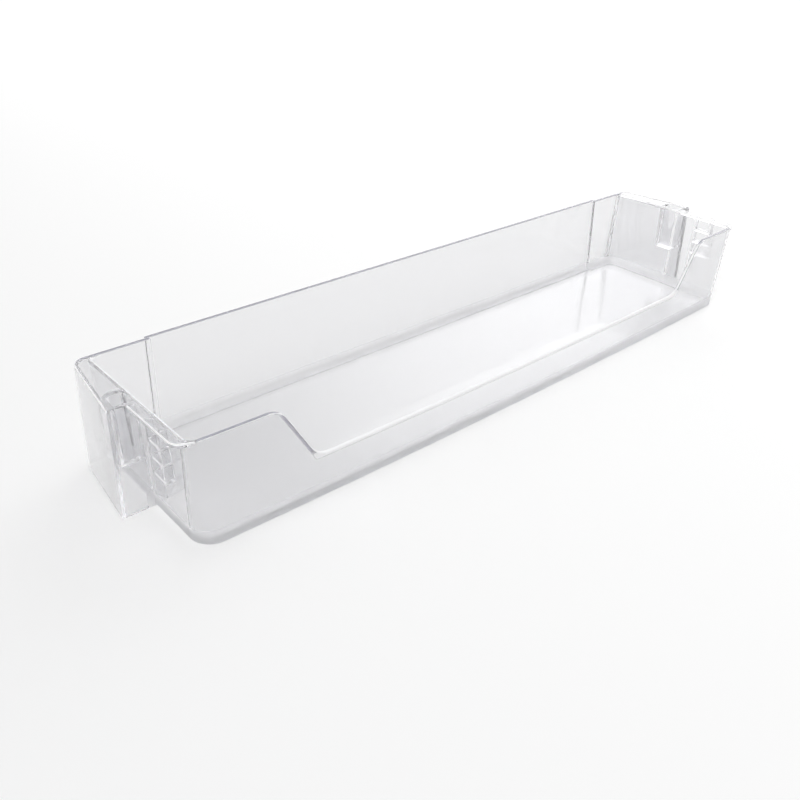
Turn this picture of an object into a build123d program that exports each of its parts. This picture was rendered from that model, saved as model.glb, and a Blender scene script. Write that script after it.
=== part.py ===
from build123d import *
import os
from math import cos, radians, sqrt, tan

# Clear moulded shelf that hangs inside a refrigerator door, made as one piece.
# X runs along the shelf, +Y points at the door, Z is up, and the bottom rests on Z = 0.

# Overall sizes in millimetres and angles in degrees
overall_width = 500.0  # over the two shoulder blocks, at their lower edge
overall_depth = 114.0  # back face to the middle of the low front edge
shelf_height = 64.0
wall = 2.3
floor_thickness = 2.3

# Compartment
block_reach = 16.0  # inside of the end wall at its rear top corner to the block's lower edge
end_taper = 2.2  # each end wall runs in towards the front
end_draft = 2.0  # each wall leans in towards the floor
front_draft = 1.0
back_draft = 0.8
front_bow = 3.6  # the front wall bulges by this much at the middle
corner_radius_rim = 7.0  # outside corners in plan
corner_radius_floor = 13.0
floor_fillet = 4.0  # inside, between the walls and the floor
foot_chamfer = 0.8  # outside, along the lower edge

# Back wall: the middle stands further back than the two end sections
step_depth = 2.1
step_margin = 33.0  # inside of the end wall to the edge of the middle, at the rim
step_lean = 1.5
step_round = 0.8  # outside, at both corners of each step

# Notch that lowers the middle of the front wall
notch_depth = 36.5
notch_margin = 51.0  # inside of the end wall to the top of the slope, at the rim
notch_slope = 60.0  # of its two sides, from the level
notch_radius = 13.0

# Flange along the rim of each end
flange_width = 7.0  # from the inside of the end wall, in front of the block
flange_thickness = 2.3
flange_corner_radius = 8.0
flange_setback = 1.2  # its front edge meets the rounded corner this far behind the front wall
flange_blend = 3.0  # where the two meet

# Shoulder block: a hollow skirt at the rear of each end, open at the bottom
shoulder_depth = 60.5  # rear face to the shoulder that faces the groove
skirt_flare_rim = 5.2  # the skirt widens towards the shoulder
skirt_flare_foot = 4.0
skirt_draft = 1.3  # and towards its lower edge
skirt_corner_radius = 8.0

# Socket in the top of each block, round at the rear
socket_width = 10.0
socket_length = 14.0
socket_depth = 32.0
socket_draft = 1.0

# Clip box under the flange, in front of the lug groove
groove_width = 15.4  # shoulder to the rear rib of the clip
clip_length = 15.0
clip_height = 31.0  # below the rim
clip_rib = 1.8
clip_inset = 0.8  # from the edge of the flange
clip_cells = 3
guide_height = 44.0  # the rear rib runs on down by this much, then dies out on the wall

# Edges
rim_round = 0.95

clear_width = overall_width - 2 * block_reach
half_depth = overall_depth / 2
low_edge_height = shelf_height - notch_depth
end_face_rim = half_depth - step_depth
front_radius = ((clear_width / 2) ** 2 + front_bow**2) / (2 * front_bow)
flange_reach = flange_width - wall


def lean(angle, height):
    """How far a face that leans by the angle moves over the height."""
    return height * tan(radians(angle))


def back_face(z):
    """Y of the outside of the back wall's end sections."""
    return end_face_rim - lean(back_draft, shelf_height - z)


def front_face(z):
    """Y of the outside of the front wall at its middle."""
    return -half_depth + lean(front_draft, low_edge_height - z)


def end_face(y, z):
    """X of the outside of the right end wall."""
    taper = lean(end_taper, end_face_rim - y)
    return clear_width / 2 + wall - taper - lean(end_draft, shelf_height - z)


def bulge(x):
    """How far the bowed front wall falls back from its middle at a distance along the shelf."""
    return front_radius - sqrt(front_radius**2 - x**2)


def straight_solid(low_plan, high_plan):
    """Solid between two plans with straight sides, the flat ones as true planes."""
    sides = loft([low_plan, high_plan], ruled=True).faces()
    return Solid(Shell([Face(side.outer_wire()) if side.is_planar else side for side in sides]))


def compartment_plan(z, inset):
    """Plan of the compartment at a height, drawn in all round by the inset."""
    side = inset / cos(radians(end_taper))
    back = back_face(z) - inset
    middle = front_face(z) + inset
    ahead = middle - front_bow
    rear_half = end_face(back, z) - side
    ahead_half = end_face(ahead, z) - side
    points = [(ahead_half, ahead), (rear_half, back), (-rear_half, back), (-ahead_half, ahead)]
    bow = Pos(0, middle + front_radius - inset) * Circle(front_radius - inset)
    plan = make_face(Polyline(*points, close=True)) & bow
    radius = corner_radius_floor + z / shelf_height * (corner_radius_rim - corner_radius_floor)
    return Pos(0, 0, z) * fillet(plan.vertices(), radius - inset)


def step_half(z, inset):
    """Half the length of the middle of the back wall at a height."""
    return clear_width / 2 - step_margin + lean(step_lean, shelf_height - z) - inset


def step_plan(z, inset):
    """Plan of the middle of the back wall at a height, reaching forward into the compartment."""
    back = back_face(z) + step_depth - inset
    front = back_face(z) - corner_radius_floor
    return Pos(0, (back + front) / 2, z) * Rectangle(2 * step_half(z, inset), back - front)


def outside_plan(z, inset):
    """Plan of the outside of the walls at a height, with the step's corners rounded."""
    plan = compartment_plan(z, inset) + step_plan(z, inset)
    corners = [v for v in plan.vertices() if abs(abs(v.X) - step_half(z, inset)) < step_depth]
    return fillet(corners, step_round)


def outside():
    """Outside of the compartment, with a chamfer along its foot."""
    walls = straight_solid(outside_plan(foot_chamfer, 0), outside_plan(shelf_height, 0))
    return walls + straight_solid(outside_plan(0, foot_chamfer), outside_plan(foot_chamfer, 0))


def inside():
    """Inside of the compartment, with a fillet round its floor."""
    main = straight_solid(compartment_plan(floor_thickness, wall), compartment_plan(shelf_height, wall))
    main = fillet(main.faces().sort_by(Axis.Z)[0].edges(), floor_fillet)
    step = straight_solid(step_plan(floor_thickness, wall), step_plan(shelf_height, wall))
    rear_edge = step.faces().sort_by(Axis.Z)[0].edges().sort_by(Axis.Y)[-1]
    return main + fillet(rear_edge, floor_fillet)


def block_plan(z, inset):
    """Plan of the right shoulder block at a height, drawn in by the inset and running into the end wall."""
    rear = back_face(z) - inset
    shoulder = end_face_rim - shoulder_depth + inset
    lip = overall_width / 2 - lean(skirt_draft, z) - inset
    share = z / shelf_height
    flare = skirt_flare_foot + share * (skirt_flare_rim - skirt_flare_foot)
    rear_half = lip - lean(flare, rear - shoulder)
    inner = end_face(rear, z) - corner_radius_floor - wall
    points = [(inner, rear), (rear_half, rear), (lip, shoulder), (inner, shoulder)]
    plan = make_face(Polyline(*points, close=True))
    corner = plan.vertices().sort_by_distance((rear_half, rear, 0))[0]
    return Pos(0, 0, z) * fillet(corner, skirt_corner_radius - inset)


def socket_solid(grow, depth):
    """Upright socket, round at the rear, with its walls moved out by grow."""
    front = end_face_rim - shoulder_depth + wall
    radius = socket_width / 2
    centre = end_face(front, shelf_height) + radius
    straight = socket_length - radius
    plan = Pos(centre, front + (straight - grow) / 2) * Rectangle(socket_width + 2 * grow, straight + grow)
    plan += Pos(centre, front + straight) * Circle(radius + grow)
    return extrude(Pos(0, 0, shelf_height) * plan, amount=-depth, taper=socket_draft)


def shoulder_block():
    """Right shoulder block with its hollow and the walls of its socket."""
    underside = shelf_height - flange_thickness
    block = straight_solid(block_plan(0, 0), block_plan(shelf_height, 0))
    hollow = straight_solid(block_plan(0, wall), block_plan(underside, wall))
    hollow -= outside()
    hollow -= socket_solid(wall, socket_depth + wall)
    return block - hollow


def front_flange():
    """Plate along the rim of the right end, in front of the shoulder block."""
    corner = end_face(-half_depth, shelf_height)
    front = front_face(shelf_height) + bulge(corner) + flange_setback
    rear = end_face_rim - shoulder_depth + wall / 2
    front_half = end_face(front, shelf_height)
    rear_half = end_face(rear, shelf_height)
    points = [
        (front_half - corner_radius_rim, front),
        (front_half + flange_reach, front),
        (rear_half + flange_reach, rear),
        (rear_half - corner_radius_rim, rear),
    ]
    plan = make_face(Polyline(*points, close=True))
    plan = fillet(plan.vertices().sort_by(Axis.Y)[:2].sort_by(Axis.X)[-1], flange_corner_radius)
    return extrude(Pos(0, 0, shelf_height) * plan, amount=-flange_thickness)


def clip_box():
    """Two upright ribs with level ledges between them, under the right flange."""
    rear = end_face_rim - shoulder_depth - groove_width
    front = rear - clip_length
    top = shelf_height - flange_thickness / 2
    foot = shelf_height - clip_height
    guide_foot = shelf_height - guide_height
    outer = end_face(front, shelf_height) + flange_reach - clip_inset
    inner = end_face(front, 0) - wall / 2
    width = outer - inner
    guide = make_face(
        Polyline((inner, top), (outer, top), (outer, guide_foot), (inner, guide_foot - width), close=True)
    )
    box = extrude(Pos(0, rear, 0) * Rot(90, 0, 0) * guide, amount=clip_rib)
    middle = inner + width / 2
    box += Pos(middle, front + clip_rib / 2, (top + foot) / 2) * Box(width, clip_rib, top - foot)
    pitch = (clip_height - flange_thickness) / clip_cells
    for number in range(clip_cells):
        level = foot + number * pitch + clip_rib / 2
        box += Pos(middle, (rear + front) / 2, level) * Box(width, clip_length, clip_rib)
    return box


def notch_solid():
    """What the notch takes off the front wall, before its corners are rounded."""
    top_half = clear_width / 2 - notch_margin
    bottom_half = top_half - notch_depth / tan(radians(notch_slope))
    points = [
        (-top_half, shelf_height),
        (-bottom_half, low_edge_height),
        (bottom_half, low_edge_height),
        (top_half, shelf_height),
    ]
    outline = make_face(Polyline(*points, close=True))
    reach = 2 * wall + front_bow
    return extrude(Pos(0, -half_depth, 0) * Rot(90, 0, 0) * outline, amount=reach, both=True)


def in_front_wall(shape):
    """Whether an edge or a face lies in the front wall, no lower than the notch."""
    centre = shape.center()
    return centre.Y < -half_depth + wall + front_bow and centre.Z > low_edge_height - wall


def notch_corners(shelf):
    """The four short edges across the front wall where the notch changes direction."""
    return [edge for edge in shelf.edges().filter_by(Axis.Y) if in_front_wall(edge)]


def flange_ends(shelf):
    """The two upright edges where the flanges run into the front corners."""
    upright = [edge for edge in shelf.edges() if abs(edge.tangent_at(0).Z) > cos(radians(notch_slope))]
    return [edge for edge in upright if in_front_wall(edge) and edge.length < 2 * flange_thickness]


def is_rim(face):
    """Whether a face belongs to the rim: the level top, or the floor and sides of the notch."""
    upward = face.normal_at(face.center()).Z > cos(radians(notch_slope)) / 2
    return upward and (in_front_wall(face) or face.center().Z > shelf_height - wall)


def rim_edges(shelf):
    """Edges along the inside and outside of the rim, down through the notch."""
    edges = [edge for face in shelf.faces() if is_rim(face) for edge in face.edges()]
    return [edge for edge in edges if sum(edge.is_same(other) for other in edges) == 1]


def door_shelf():
    """The whole moulding."""
    end = shoulder_block() + front_flange() + clip_box()
    socket = socket_solid(0, socket_depth)
    shelf = outside()
    shelf += end
    shelf += mirror(end, about=Plane.YZ)
    shelf -= inside()
    shelf -= notch_solid()
    shelf = fillet(notch_corners(shelf), notch_radius)
    shelf = fillet(flange_ends(shelf), flange_blend)
    shelf = fillet(rim_edges(shelf), rim_round)
    shelf -= socket
    return shelf - mirror(socket, about=Plane.YZ)


os.makedirs("parts", exist_ok=True)
shelf = door_shelf()
export_step(shelf, "parts/door_shelf.step")
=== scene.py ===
import math
import bpy
from mathutils import Matrix, Vector


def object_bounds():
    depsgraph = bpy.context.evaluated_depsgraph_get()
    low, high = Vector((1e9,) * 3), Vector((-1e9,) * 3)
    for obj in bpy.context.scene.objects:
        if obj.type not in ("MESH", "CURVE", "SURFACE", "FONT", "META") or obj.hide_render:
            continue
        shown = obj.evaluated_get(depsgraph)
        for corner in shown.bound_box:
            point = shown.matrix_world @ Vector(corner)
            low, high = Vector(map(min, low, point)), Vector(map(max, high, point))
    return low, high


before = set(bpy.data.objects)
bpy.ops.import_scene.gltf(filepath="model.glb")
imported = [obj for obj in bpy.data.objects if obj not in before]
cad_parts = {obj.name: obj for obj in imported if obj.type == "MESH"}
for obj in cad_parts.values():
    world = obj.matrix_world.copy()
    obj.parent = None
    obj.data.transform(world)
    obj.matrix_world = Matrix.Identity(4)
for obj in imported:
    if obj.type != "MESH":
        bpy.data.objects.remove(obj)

# Clear moulded shelf for a refrigerator door, on a pale studio floor.
# X runs along the shelf, +Y points at the door and Z is up. Lengths are in metres, angles in degrees.
cad_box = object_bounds()
scene = bpy.context.scene
scene.view_settings.view_transform = "Standard"

# Camera, fitted to the photograph by the shelf's mirror symmetry
CAMERA_AT = (-0.3529, -0.3365, 0.2717)
CAMERA_HEADING = 39.93  # from +Y towards +X
CAMERA_PITCH = 27.95  # below the level
CAMERA_ROLL = 0.58
FOCAL_PX = 803.6
IMAGE_PX = 800
CENTRE_PX = (386.3, 345.2)  # where the camera's axis meets the photograph
SENSOR_MM = 36.0
SIGHT_LIMIT = 100.0

# Sizes of the shelf, as in the part's source
BLOCK_REACH = 0.016
END_TAPER = 2.2
STEP_DEPTH = 0.0021
NOTCH_DEPTH = 0.0365
NOTCH_MARGIN = 0.051
NOTCH_SLOPE = 60.0

# Places on the shelf, worked out from the model's bounds
HALF_DEPTH = cad_box[1][1]  # the origin is midway between the front and the back
RIM_HEIGHT = cad_box[1][2]
LOW_EDGE = RIM_HEIGHT - NOTCH_DEPTH
END_HALF = cad_box[1][0] - BLOCK_REACH  # inside of the end wall at its rear top corner
END_REAR = HALF_DEPTH - STEP_DEPTH
NOTCH_HALF = END_HALF - NOTCH_MARGIN  # top of the notch's slope

# Conditions of the masks: what is read, its value where the mask is 0 and its value where the mask is 1.
# read_surface says what each name stands for.
FRONT_WALL = ("past front", 0.0130, 0.0110)
BETWEEN_CORNERS = ("past end corner", -0.0065, -0.0085)
END_RIM = ("past end corner", -0.0070, -0.0060)
ABOVE_LOW_EDGE = ("over low edge", 0.0005, 0.0020)
RIM_TOP = ("over rim", -0.0015, -0.0010)
NEAR_SLOPE = ("past slope", 0.0024, 0.0014)
LEANS_UP = ("up", 0.05, 0.20)
LEVEL = ("up", 0.15, 0.60)
FLANGE_EDGE = [
    LEANS_UP,
    ("up", 0.97, 0.90),
    ("over rim", -0.0030, -0.0020),
    END_RIM,
    ("past back", -0.0050, -0.0060),
]

# Edges painted white and matt: painted highlights where bright lines of light show along the edges
PAINTED_HIGHLIGHT_EDGES = {
    "low front edge": [
        FRONT_WALL,
        NEAR_SLOPE,
        ("over low edge", -0.0023, -0.0011),
        ("over low edge", 0.0035, 0.0015),
    ],
    "slopes of the notch": [
        FRONT_WALL,
        ABOVE_LOW_EDGE,
        ("towards door", 0.40, 0.20),
        ("towards door", -0.90, -0.70),
        ("up", 0.86, 0.76),
        ("past notch", 0.0080, 0.0060),
    ],
    "outer edge of the front rim": [
        FRONT_WALL,
        RIM_TOP,
        ("towards door", -0.70, -0.80),
        ("towards door", -0.98, -0.93),
        BETWEEN_CORNERS,
    ],
    "sides of the flange": FLANGE_EDGE + [("aside", 0.15, 0.35)],
    "front of the flange": FLANGE_EDGE + [("past front", 0.0290, 0.0250)],
    "inner edge of the end rim": [
        LEANS_UP,
        RIM_TOP,
        END_RIM,
        ("past end wall", 0.0013, 0.0009),
        ("past back", -0.0060, -0.0070),
        ("past front", 0.0070, 0.0090),
    ],
}

# Rims with painted shade: darker and less clear than the walls, in place of the dark lines that refraction
# gives
PAINTED_SHADE_RIMS = {
    "inner edge of the notch": [FRONT_WALL, ABOVE_LOW_EDGE, NEAR_SLOPE, ("towards door", 0.25, 0.45)],
    "back rim": [LEVEL, RIM_TOP, ("past back", -0.0055, -0.0045)],
    "front rim": [LEVEL, ("over rim", -0.0080, -0.0065), FRONT_WALL, BETWEEN_CORNERS],
}

# Foot of the walls, which has a softer polish
FOOT = [
    ("over table", 0.0110, 0.0050),
    ("up", 0.9995, 0.97),
    ("up", -0.98, -0.92),
    ("past end corner", 0.0025, 0.0005),
]

# Clear plastic
PLASTIC_IOR = 1.57
PLASTIC_CLEAR = (0.895, 0.895, 0.904)
# painted shade: dark colour of the shaded rims
RIM_SHADE_COLOUR = (0.44, 0.44, 0.50)
# painted highlight: white colour of the edges that stand in for bright lines of light
HIGHLIGHT_WHITE = (0.95, 0.95, 0.96)
HAZE = 0.03  # share of the light that the surface scatters
# painted shade: share of the light that the shaded rims scatter instead of letting it through
RIM_SHADE_HAZE = 0.65
PLASTIC_TINT = (0.30, 0.30, 0.42)  # colour that the depth of the plastic lets through
TINT_DENSITY = 1.2
POLISH = (0.07, 0.15)  # least and most roughness
MATT = 0.4  # roughness that the painted highlight edges and the foot add
WAVES = {"Scale": 14.0, "Detail": 2.0}  # slow unevenness of the moulded skin
WAVES_BUMP = {"Strength": 0.04, "Distance": 0.002}
GRIME = {"Scale": 55.0, "Detail": 5.0, "Roughness": 0.6}  # fine change of the polish

# Studio, where a pair of levels is for the left and for the right
FLOOR_HALF = 12.0
FLOOR_DROP = 0.0005  # keeps the floor clear of the shelf's underside
FLOOR_SHADE_SPAN = (-0.5, 0.3)  # along X, where the floor's painted shade goes from the left level to the right
# painted shade: floor colour darker at the left than at the right
FLOOR_SHADE_LEVELS = (0.67, 0.80)
FLOOR_LIFT = 0.24  # light that the floor itself shows
DIM_LEVELS = (0.55, 0.71)  # light from all round
PALE_LEVELS = (0.90, 1.00)  # backdrop
WHITE = (1.0, 1.0, 1.0, 1.0)

# Soft patches of light in the world: direction, cosine at the edge, cosine where it is full, strength
PATCHES = {
    "side": ((0.814, 0.362, 0.454), 0.80, 0.99, 1.5),
    "rim": ((0.68, -0.20, 0.70), 0.90, 0.97, 0.4),
    "key": ((-0.75, -0.35, 0.56), 0.92, 0.98, 3.4),
}

# Light paths
BOUNCES = 40
SEEN_BY = ("Is Camera Ray", "Is Glossy Ray", "Is Transmission Ray")


def node(tree, kind, **inputs):
    """New shader node with plain values on its sockets."""
    made = tree.nodes.new(kind)
    for name, value in inputs.items():
        made.inputs[name.replace("_", " ")].default_value = value
    return made


def split(tree, vector):
    """X, Y and Z outputs of a vector."""
    made = tree.nodes.new("ShaderNodeSeparateXYZ")
    tree.links.new(vector, made.inputs["Vector"])
    return [made.outputs[name] for name in "XYZ"]


def dot(tree, vector, direction):
    """Output for the dot product of a vector with a fixed direction."""
    made = tree.nodes.new("ShaderNodeVectorMath")
    made.operation = "DOT_PRODUCT"
    made.inputs[1].default_value = direction
    tree.links.new(vector, made.inputs[0])
    return made.outputs["Value"]


def size_of(tree, socket):
    """Absolute value of an output."""
    made = tree.nodes.new("ShaderNodeMath")
    made.operation = "ABSOLUTE"
    tree.links.new(socket, made.inputs[0])
    return made.outputs["Value"]


def combine(tree, operation, sockets):
    """Several outputs made into one by a Math operation such as ADD, MULTIPLY or MAXIMUM."""
    made = sockets[0]
    for socket in sockets[1:]:
        both = tree.nodes.new("ShaderNodeMath")
        both.operation = operation
        tree.links.new(made, both.inputs[0])
        tree.links.new(socket, both.inputs[1])
        made = both.outputs["Value"]
    return made


def ramp(tree, socket, limits=(0.0, 1.0), levels=(0.0, 1.0), shape="LINEAR"):
    """Output that goes from one level to another between two limits, and stays level beyond them."""
    made = node(tree, "ShaderNodeMapRange", From_Min=limits[0], From_Max=limits[1],
                To_Min=levels[0], To_Max=levels[1])
    made.interpolation_type = shape
    tree.links.new(socket, made.inputs["Value"])
    return made.outputs["Result"]


def coats(tree, colour, layers):
    """Colour output that starts from one colour and takes on another where each layer's mask is 1."""
    below = None
    for cover, coat in layers:
        mix = tree.nodes.new("ShaderNodeMix")
        mix.data_type = "RGBA"
        first, second = [item for item in mix.inputs if item.type == "RGBA"]
        first.default_value = (*colour, 1.0)
        second.default_value = (*coat, 1.0)
        if below is not None:
            tree.links.new(below, first)
        tree.links.new(cover, mix.inputs["Factor"])
        below = next(item for item in mix.outputs if item.type == "RGBA")
    return below


def seen(tree):
    """Output that is 1 for rays that show what they meet and 0 for rays that only gather light."""
    path = tree.nodes.new("ShaderNodeLightPath")
    return combine(tree, "MAXIMUM", [path.outputs[name] for name in SEEN_BY])


def empty_material(name):
    """Material with an empty node tree and an output."""
    material = bpy.data.materials.new(name)
    material.use_nodes = True
    tree = material.node_tree
    tree.nodes.clear()
    return material, tree, tree.nodes.new("ShaderNodeOutputMaterial")


def read_surface(tree):
    """What the masks read: by name, an output and the value that it counts from.

    The shelf is symmetric, so its left half reads as its right half. The last three are the parts of the
    outward direction, which is the same whichever side of a face a ray meets.
    """
    link = tree.links.new
    geometry = tree.nodes.new("ShaderNodeNewGeometry")
    x, along, height = split(tree, geometry.outputs["Position"])
    across = size_of(tree, x)
    place = tree.nodes.new("ShaderNodeCombineXYZ")
    for name, socket in zip("XYZ", (across, along, height)):
        link(socket, place.inputs[name])

    outward = tree.nodes.new("ShaderNodeVectorMath")
    outward.operation = "SCALE"
    link(geometry.outputs["Normal"], outward.inputs[0])
    link(ramp(tree, geometry.outputs["Backfacing"], levels=(1.0, -1.0)), outward.inputs["Scale"])
    aside, towards_door, up = split(tree, outward.outputs["Vector"])

    slope = math.radians(NOTCH_SLOPE)
    past_slope = dot(tree, place.outputs["Vector"], (math.sin(slope), 0.0, -math.cos(slope)))
    taper = math.tan(math.radians(END_TAPER))
    past_end_wall = dot(tree, place.outputs["Vector"], (1.0, -taper, 0.0))
    return {
        "past front": (along, -HALF_DEPTH),
        "past back": (along, HALF_DEPTH),
        "past notch": (across, NOTCH_HALF),
        "past slope": (past_slope, NOTCH_HALF * math.sin(slope) - RIM_HEIGHT * math.cos(slope)),
        "past end corner": (across, END_HALF),
        "past end wall": (past_end_wall, END_HALF - END_REAR * taper),
        "over table": (height, 0.0),
        "over low edge": (height, LOW_EDGE),
        "over rim": (height, RIM_HEIGHT),
        "aside": (size_of(tree, aside), 0.0),
        "towards door": (towards_door, 0.0),
        "up": (up, 0.0),
    }


def mask(tree, surface, conditions):
    """Output that is 1 where all of the conditions hold."""
    steps = []
    for name, off, on in conditions:
        socket, origin = surface[name]
        steps.append(ramp(tree, socket, limits=(origin + off, origin + on)))
    return combine(tree, "MULTIPLY", steps)


def any_mask(tree, surface, places):
    """Output that is 1 where any of several masks is 1."""
    return combine(tree, "MAXIMUM", [mask(tree, surface, conditions) for conditions in places.values()])


def clear_plastic():
    """Clear polished moulding with a faint tint, a little uneven as moulded skin is, with painted
    highlights on some edges and painted shade on some rims.
    """
    material, tree, out = empty_material("clear_plastic")
    link = tree.links.new
    surface = read_surface(tree)
    # painted highlight: edges painted white, matt and not clear
    painted_highlight = any_mask(tree, surface, PAINTED_HIGHLIGHT_EDGES)
    # painted shade: rims darker and less clear than the walls
    painted_shade = any_mask(tree, surface, PAINTED_SHADE_RIMS)
    foot = mask(tree, surface, FOOT)
    skin = node(tree, "ShaderNodeBsdfPrincipled", IOR=PLASTIC_IOR)
    link(coats(tree, PLASTIC_CLEAR, [(painted_shade, RIM_SHADE_COLOUR), (painted_highlight, HIGHLIGHT_WHITE)]), skin.inputs["Base Color"])

    clear = ramp(tree, painted_shade, levels=(1.0 - HAZE, 1.0 - RIM_SHADE_HAZE))
    # painted highlight: no light goes through the edges painted white
    not_highlighted = ramp(tree, painted_highlight, levels=(1.0, 0.0))
    link(combine(tree, "MULTIPLY", [clear, not_highlighted]), skin.inputs["Transmission Weight"])

    place = tree.nodes.new("ShaderNodeTexCoord").outputs["Object"]
    grime = node(tree, "ShaderNodeTexNoise", **GRIME)
    link(place, grime.inputs["Vector"])
    polish = ramp(tree, grime.outputs["Fac"], levels=POLISH)
    matt = ramp(tree, combine(tree, "MAXIMUM", [painted_highlight, foot]), levels=(0.0, MATT))
    link(combine(tree, "ADD", [polish, matt]), skin.inputs["Roughness"])

    waves = node(tree, "ShaderNodeTexNoise", **WAVES)
    link(place, waves.inputs["Vector"])
    bump = node(tree, "ShaderNodeBump", **WAVES_BUMP)
    link(waves.outputs["Fac"], bump.inputs["Height"])
    link(bump.outputs["Normal"], skin.inputs["Normal"])

    depth = node(tree, "ShaderNodeVolumeAbsorption", Color=(*PLASTIC_TINT, 1.0), Density=TINT_DENSITY)
    link(skin.outputs["BSDF"], out.inputs["Surface"])
    link(depth.outputs["Volume"], out.inputs["Volume"])
    return material


def floor_material():
    """Pale floor with painted shade that makes it darker at the left; it shows white and keeps the shadow.
    """
    material, tree, out = empty_material("studio_floor")
    link = tree.links.new
    geometry = tree.nodes.new("ShaderNodeNewGeometry")
    x = split(tree, geometry.outputs["Position"])[0]
    paint = node(tree, "ShaderNodeBsdfDiffuse")
    # painted shade: floor colour darker towards the left
    link(ramp(tree, x, FLOOR_SHADE_SPAN, FLOOR_SHADE_LEVELS, "SMOOTHSTEP"), paint.inputs["Color"])
    lift = node(tree, "ShaderNodeEmission")
    link(ramp(tree, seen(tree), levels=(0.0, FLOOR_LIFT)), lift.inputs["Strength"])
    both = tree.nodes.new("ShaderNodeAddShader")
    link(paint.outputs["BSDF"], both.inputs[0])
    link(lift.outputs["Emission"], both.inputs[1])
    link(both.outputs["Shader"], out.inputs["Surface"])
    return material


def add_floor():
    """Large level floor under the shelf."""
    mesh = bpy.data.meshes.new("studio_floor")
    half = FLOOR_HALF
    corners = [(-half, -half, 0), (half, -half, 0), (half, half, 0), (-half, half, 0)]
    mesh.from_pydata(corners, [], [(0, 1, 2, 3)])
    floor = bpy.data.objects.new("studio_floor", mesh)
    floor.location.z = -FLOOR_DROP
    floor.data.materials.append(floor_material())
    scene.collection.objects.link(floor)


def bright_patch(tree, direction, towards, edge, full, strength):
    """Round soft patch of light in the world around one direction."""
    facing = dot(tree, direction, Vector(towards).normalized())
    return ramp(tree, facing, (edge, full), (0.0, strength), "SMOOTHSTEP")


def add_world():
    """Soft light from all round with brighter patches, and a pale backdrop where the world itself shows.

    The backdrop is for rays that have met no matt surface, so that it adds no light to the floor.
    """
    world = bpy.data.worlds.new("studio")
    scene.world = world
    world.use_nodes = True
    tree = world.node_tree
    direction = tree.nodes.new("ShaderNodeTexCoord").outputs["Generated"]
    x = split(tree, direction)[0]
    patches = [bright_patch(tree, direction, *patch) for patch in PATCHES.values()]
    dim = ramp(tree, x, (-1.0, 1.0), DIM_LEVELS)
    pale = ramp(tree, x, (-1.0, 1.0), PALE_LEVELS)
    path = tree.nodes.new("ShaderNodeLightPath")
    direct = ramp(tree, path.outputs["Diffuse Depth"], levels=(1.0, 0.0))
    light = combine(tree, "ADD", [*patches, dim])
    backdrop = combine(tree, "MULTIPLY", [seen(tree), direct, pale])
    background = tree.nodes["Background"]
    background.inputs["Color"].default_value = WHITE
    tree.links.new(combine(tree, "MAXIMUM", [light, backdrop]), background.inputs["Strength"])


def add_camera():
    """Camera at the photograph's place, with the photograph's framing."""
    data = bpy.data.cameras.new("camera")
    data.sensor_width = SENSOR_MM
    data.lens = FOCAL_PX * SENSOR_MM / IMAGE_PX
    data.shift_x = (IMAGE_PX / 2 - CENTRE_PX[0]) / IMAGE_PX
    data.shift_y = (CENTRE_PX[1] - IMAGE_PX / 2) / IMAGE_PX
    data.clip_end = SIGHT_LIMIT
    camera = bpy.data.objects.new("camera", data)
    heading = Matrix.Rotation(-math.radians(CAMERA_HEADING), 4, "Z")
    pitch = Matrix.Rotation(math.radians(90 - CAMERA_PITCH), 4, "X")
    roll = Matrix.Rotation(math.radians(CAMERA_ROLL), 4, "Z")
    camera.matrix_world = Matrix.Translation(CAMERA_AT) @ heading @ pitch @ roll
    scene.collection.objects.link(camera)
    scene.camera = camera


def set_light_paths():
    """Enough bounces for light that crosses many clear walls, and reflections that aren't blurred."""
    scene.cycles.max_bounces = BOUNCES
    scene.cycles.transmission_bounces = BOUNCES
    scene.cycles.glossy_bounces = BOUNCES
    scene.cycles.blur_glossy = 0.0


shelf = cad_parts["door_shelf"]
plastic = clear_plastic()
for slot in shelf.material_slots:
    slot.material = plastic

add_floor()
add_world()
set_light_paths()
add_camera()
